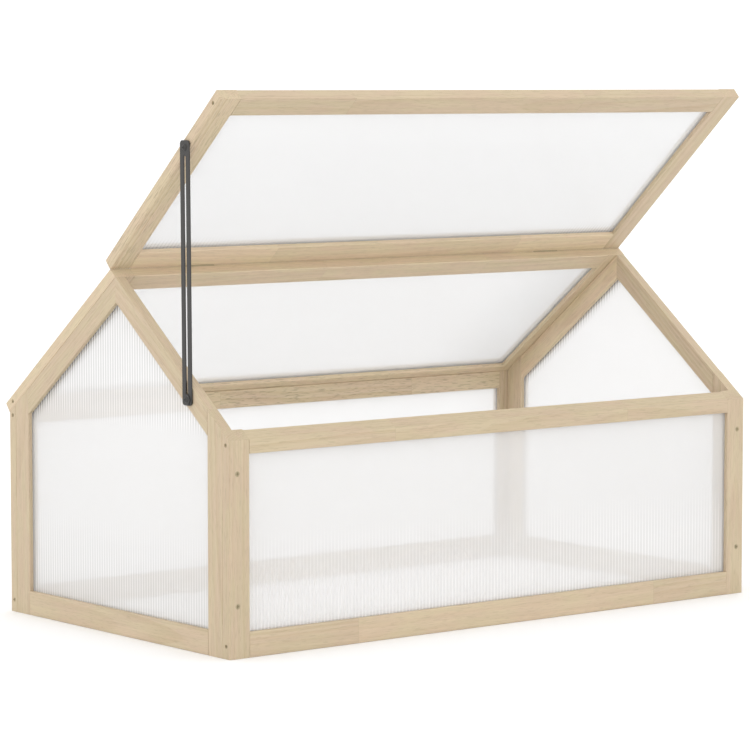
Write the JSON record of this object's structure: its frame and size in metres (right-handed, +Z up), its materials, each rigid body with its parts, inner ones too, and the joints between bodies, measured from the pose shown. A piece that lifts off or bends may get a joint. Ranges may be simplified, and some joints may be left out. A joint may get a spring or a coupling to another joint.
{
  "type": "garden cold frame",
  "caption": "Timber-framed garden cold frame with pitched ends, milky twin-wall panes, a fixed rear roof and a hinged front lid propped by a slotted stay.",
  "frame": {"origin": "middle of the overall box on the ground plane, with the stay's outermost screw head and the rear eave included in that box", "axes": "+Z up, +X from the end with the stay to the plain end, +Y from the front wall to the rear wall; stored with the front lid fully open"},
  "size_m": [1.007, 0.5742, 0.792],
  "materials": {
    "softwood": "planed, satin",
    "twin_wall_polycarbonate": "milky, ribbed",
    "dark_steel": "black, semi-matt",
    "yellow_zinc_steel": "yellow passivated"
  },
  "bodies": {
    "frame": {"end_left_bottom_rail": "softwood", "end_left_front_post": "softwood", "end_left_front_rafter": "softwood", "end_left_pane": "twin_wall_polycarbonate", "end_left_rear_post": "softwood", "end_left_rear_rafter": "softwood", "end_right_bottom_rail": "softwood", "end_right_front_post": "softwood", "end_right_front_rafter": "softwood", "end_right_pane": "twin_wall_polycarbonate", "end_right_rear_post": "softwood", "end_right_rear_rafter": "softwood", "frame_dowels": "softwood", "frame_joint_screws": "yellow_zinc_steel", "front_bottom_rail": "softwood", "front_pane": "twin_wall_polycarbonate", "front_stile_left": "softwood", "front_stile_right": "softwood", "front_top_rail": "softwood", "hinge_left_pin": "yellow_zinc_steel", "hinge_left_roof_leaf": "yellow_zinc_steel", "hinge_right_pin": "yellow_zinc_steel", "hinge_right_roof_leaf": "yellow_zinc_steel", "hinge_roof_screws": "yellow_zinc_steel", "rear_bottom_rail": "softwood", "rear_pane": "twin_wall_polycarbonate", "rear_stile_left": "softwood", "rear_stile_right": "softwood", "rear_top_rail": "softwood", "roof_eave_rail": "softwood", "roof_pane": "twin_wall_polycarbonate", "roof_ridge_rail": "softwood", "roof_screws": "yellow_zinc_steel", "roof_stile_left": "softwood", "roof_stile_right": "softwood", "stay_rafter_screw": "dark_steel", "stay_rafter_spacer": "dark_steel", "stay_rafter_washer": "dark_steel", "wall_screws": "yellow_zinc_steel"},
    "lid": {"hinge_left_lid_leaf": "yellow_zinc_steel", "hinge_lid_screws": "yellow_zinc_steel", "hinge_right_lid_leaf": "yellow_zinc_steel", "lid_dowels": "softwood", "lid_eave_rail": "softwood", "lid_hinge_rail": "softwood", "lid_joint_screws": "yellow_zinc_steel", "lid_pane": "twin_wall_polycarbonate", "lid_stile_left": "softwood", "lid_stile_right": "softwood", "stay_lid_screw": "dark_steel", "stay_lid_spacer": "dark_steel"},
    "stay": {"stay_bar": "dark_steel"}
  },
  "joints": [
    {"name": "lid_hinge", "type": "hinge", "parent": "frame", "child": "lid", "pos_m": [0, 0.00382, 0.53297], "axis": [1, 0, 0], "range_deg": [0, 79.7]},
    {"name": "stay_pivot", "type": "hinge", "parent": "lid", "child": "stay", "pos_m": [-0.5, -0.18803, 0.7117], "axis": [1, 0, 0], "range_deg": [-39.85, 0]}
  ],
  "couplings": [
    {"joint": "stay_pivot", "follows": "lid_hinge", "ratio": -0.5}
  ]
}
